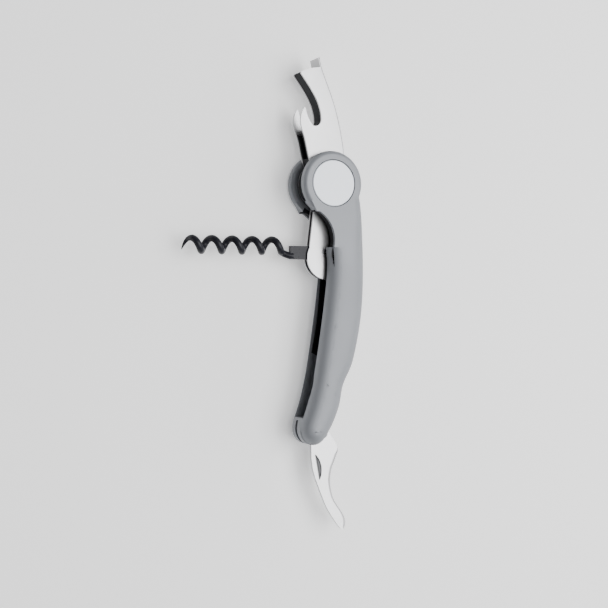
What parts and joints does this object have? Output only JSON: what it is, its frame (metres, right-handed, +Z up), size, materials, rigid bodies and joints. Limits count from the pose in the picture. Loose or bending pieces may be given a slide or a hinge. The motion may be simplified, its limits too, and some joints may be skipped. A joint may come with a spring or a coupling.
{
  "type": "lever corkscrew",
  "caption": "Waiter's lever corkscrew: curved grip, hinged forked rim lever with cap lifter, fold-out wire worm and a serrated foil knife.",
  "frame": {"origin": "centre of the lower pivot cap's outer face, on the lever's hinge axis, at the height of the table the tool lies on", "axes": "+Z up, along all hinge axes; +X from the lever's pivot towards the knife; +Y towards the handle's back, so the worm points to -Y"},
  "size_m": [0.2092, 0.0832, 0.019],
  "materials": {
    "handle_silver": "satin silver-grey paint over cast metal",
    "frame_black": "black glass-filled nylon",
    "brushed_steel": "stainless sheet, finely brushed",
    "plain_steel": "plain turned steel, hidden",
    "polished_steel": "flush rivet, ground",
    "spring_steel": "tempered strip, hidden",
    "cap_aluminium": "pale satin anodised disc",
    "nylon_washer": "plain nylon, hidden",
    "bush_brass": "plain turned brass, hidden",
    "coated_black": "glossy non-stick black coating on steel wire",
    "blade_steel": "fine satin blade steel"
  },
  "bodies": {
    "handle": {"upper_shell": "handle_silver", "lower_shell": "handle_silver", "upper_frame": "frame_black", "lower_frame": "frame_black", "upper_bracket_plate": "brushed_steel", "lower_bracket_plate": "brushed_steel", "bracket_spacers": "plain_steel", "bracket_pins": "plain_steel", "worm_rivet": "polished_steel", "worm_spring": "spring_steel", "lever_spring": "spring_steel", "pivot_barrel": "plain_steel", "pivot_screw": "plain_steel", "upper_pivot_cap": "cap_aluminium", "lower_pivot_cap": "cap_aluminium", "upper_pivot_washer": "nylon_washer", "lower_pivot_washer": "nylon_washer", "knife_pivot_pin": "plain_steel", "knife_stop_pin": "plain_steel", "upper_knife_washer": "bush_brass", "lower_knife_washer": "bush_brass", "shell_dowels": "plain_steel"},
    "lever": {"lever_channel": "brushed_steel", "lever_liner": "frame_black", "lever_bush": "bush_brass"},
    "worm_arm": {"worm": "coated_black", "worm_bush": "bush_brass"},
    "knife": {"knife_blade": "blade_steel"}
  },
  "joints": [
    {"name": "lever_hinge", "type": "hinge", "parent": "handle", "child": "lever", "pos_m": [0, 0, 0.0095], "axis": [0, 0, 1], "range_deg": [0, 100]},
    {"name": "worm_hinge", "type": "hinge", "parent": "handle", "child": "worm_arm", "pos_m": [0.0299, -0.00057, 0.0095], "axis": [0, 0, 1], "range_deg": [0, 86]},
    {"name": "knife_hinge", "type": "hinge", "parent": "handle", "child": "knife", "pos_m": [0.1095, -0.0035, 0.0095], "axis": [0, 0, 1], "range_deg": [0, 144]}
  ]
}
